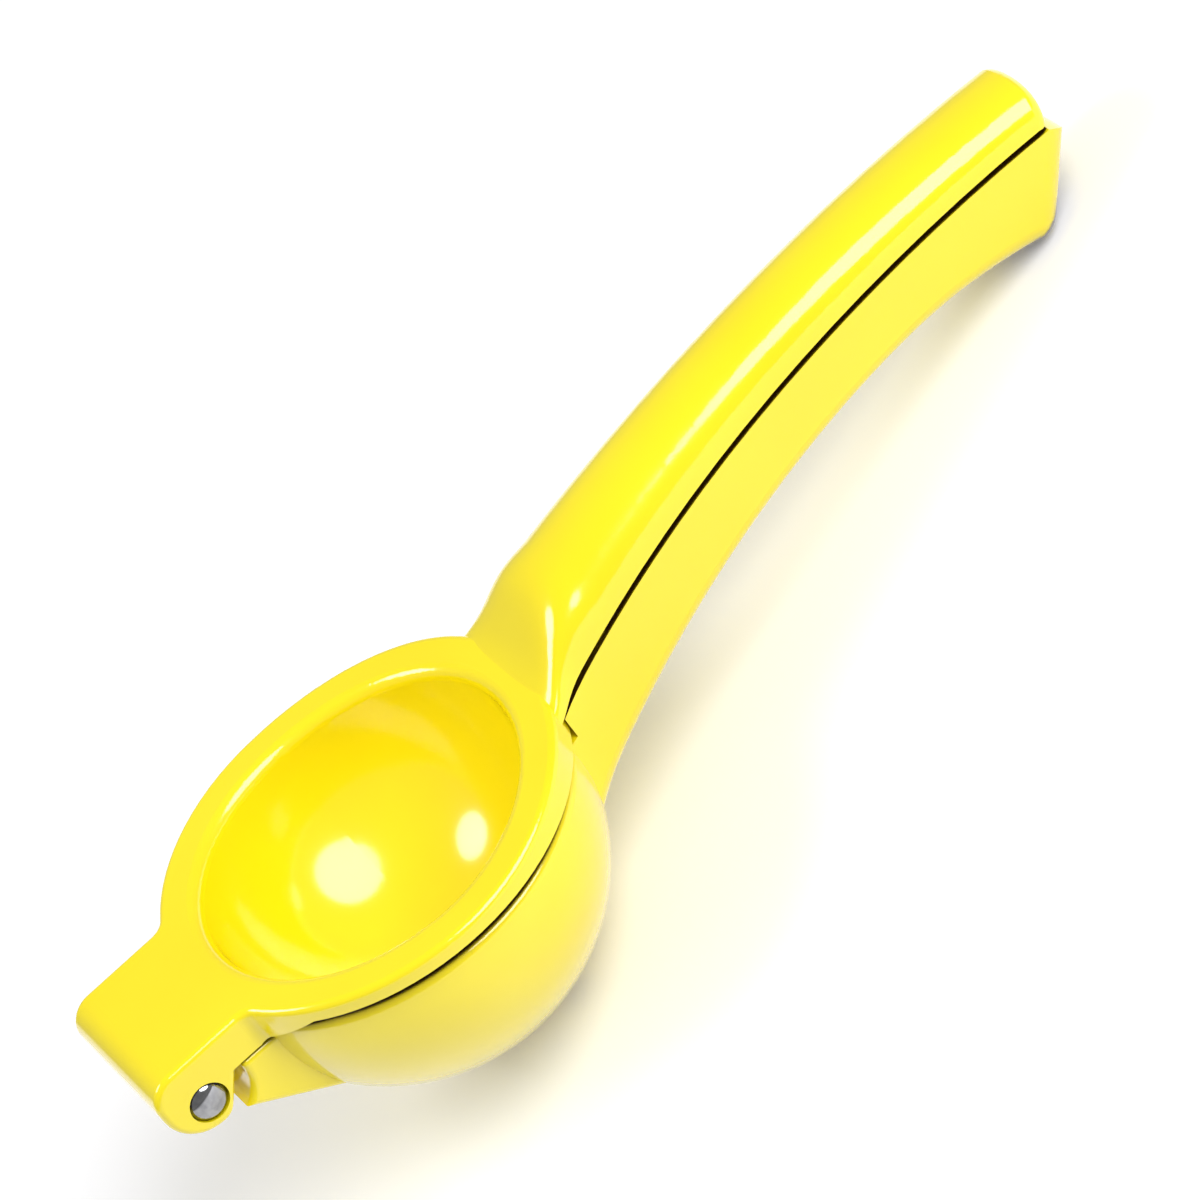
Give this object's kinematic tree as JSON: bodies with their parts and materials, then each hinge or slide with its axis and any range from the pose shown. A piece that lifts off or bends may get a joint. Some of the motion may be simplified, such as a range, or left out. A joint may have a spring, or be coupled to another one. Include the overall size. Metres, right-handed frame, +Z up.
{
  "type": "lemon squeezer",
  "caption": "Hand lemon squeezer: a press cup and a perforated strainer bowl on two arched hollow levers, joined by a riveted hinge pin and squeezed shut by the handles.",
  "frame": {"origin": "on the table under the middle of the closed squeezer's bounding box", "axes": "+X from the bowl along the handles, +Y across the squeezer along the hinge pin, +Z up from the table on which the closed squeezer lies on its bowl and on the flared tip of its lower handle"},
  "size_m": [0.2108, 0.0744, 0.0597],
  "materials": {
    "enamel": "gloss",
    "pin_steel": "polished"
  },
  "bodies": {
    "strainer": {"strainer_lever": "enamel"},
    "press": {"press_lever": "enamel", "hinge_pin": "pin_steel"}
  },
  "joints": [
    {"name": "hinge", "type": "hinge", "parent": "strainer", "child": "press", "pos_m": [-0.09865, 0, 0.05012], "axis": [0, -1, 0], "range_deg": [0, 110]}
  ]
}
